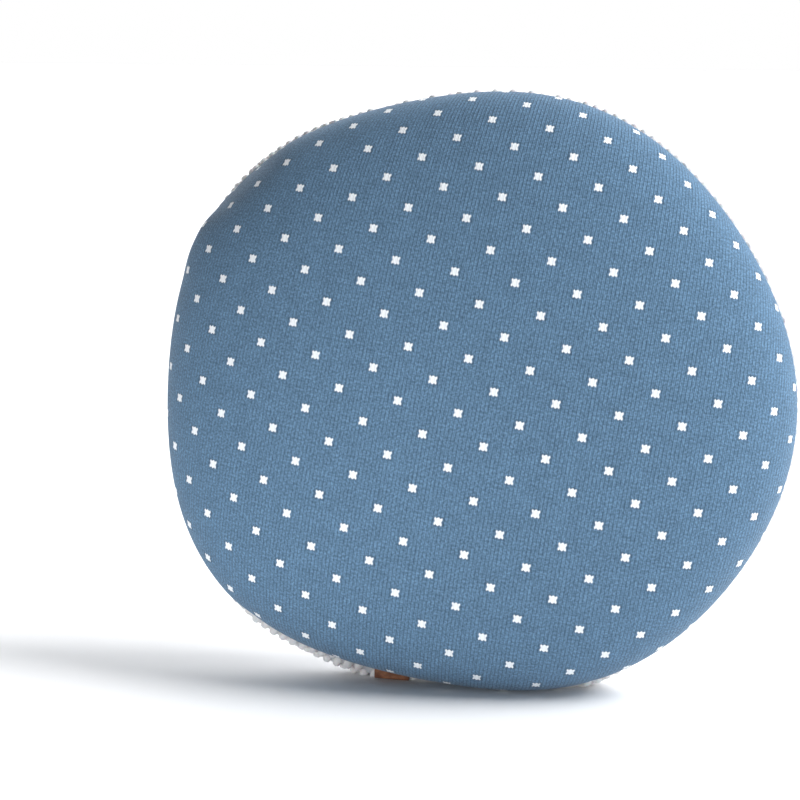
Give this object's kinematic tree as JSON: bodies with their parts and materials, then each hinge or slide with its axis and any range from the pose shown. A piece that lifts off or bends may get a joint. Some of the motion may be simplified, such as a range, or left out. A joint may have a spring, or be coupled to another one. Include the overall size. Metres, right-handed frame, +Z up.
{
  "type": "round cushion",
  "caption": "Plump round lumbar cushion standing on its edge: knit front, dimpled plush back, zipped side seam and a folded leather tab.",
  "frame": {"origin": "on the floor, below the middle of the cushion's bounding box", "axes": "+Z up, +X to the right as seen from the front, the knit face looks towards -Y and stands nearly upright"},
  "size_m": [0.4418, 0.1504, 0.4193],
  "materials": {
    "knit_fabric": "matte",
    "plush_fabric": "matte",
    "sewing_thread": "matte",
    "leather": "satin",
    "label_ribbon": "satin",
    "zip_tape": "matte",
    "zip_coil": "satin",
    "zip_metal": "satin",
    "lining_fabric": "matte",
    "fibre": "matte"
  },
  "bodies": {
    "cushion": {"knit_front_panel": "knit_fabric", "plush_back_panel": "plush_fabric", "cover_seam_thread": "sewing_thread", "leather_tab": "leather", "care_label": "label_ribbon", "zip_tape_front": "zip_tape", "zip_tape_back": "zip_tape", "zip_coil_front": "zip_coil", "zip_coil_back": "zip_coil", "zip_stitching_front": "sewing_thread", "zip_stitching_back": "sewing_thread", "zip_top_stops": "zip_metal", "zip_bottom_stop": "zip_metal", "zip_bar_tacks": "sewing_thread", "lining_front": "lining_fabric", "lining_back": "lining_fabric", "lining_seam_thread": "sewing_thread", "fibre_fill": "fibre"},
    "slider": {"zip_slider": "zip_metal"},
    "pull": {"zip_pull": "zip_metal"}
  },
  "joints": [
    {"name": "slider_travel", "type": "hinge", "parent": "cushion", "child": "slider", "pos_m": [0.03463, 0.00492, 0.20725], "axis": [0, -0.9997, 0.0262], "range_deg": [0, 53.5]},
    {"name": "pull_swing", "type": "hinge", "parent": "slider", "child": "pull", "pos_m": [-0.19832, 0.00768, 0.31266], "axis": [0, 0.9997, -0.0262], "range_deg": [0, 120]}
  ]
}
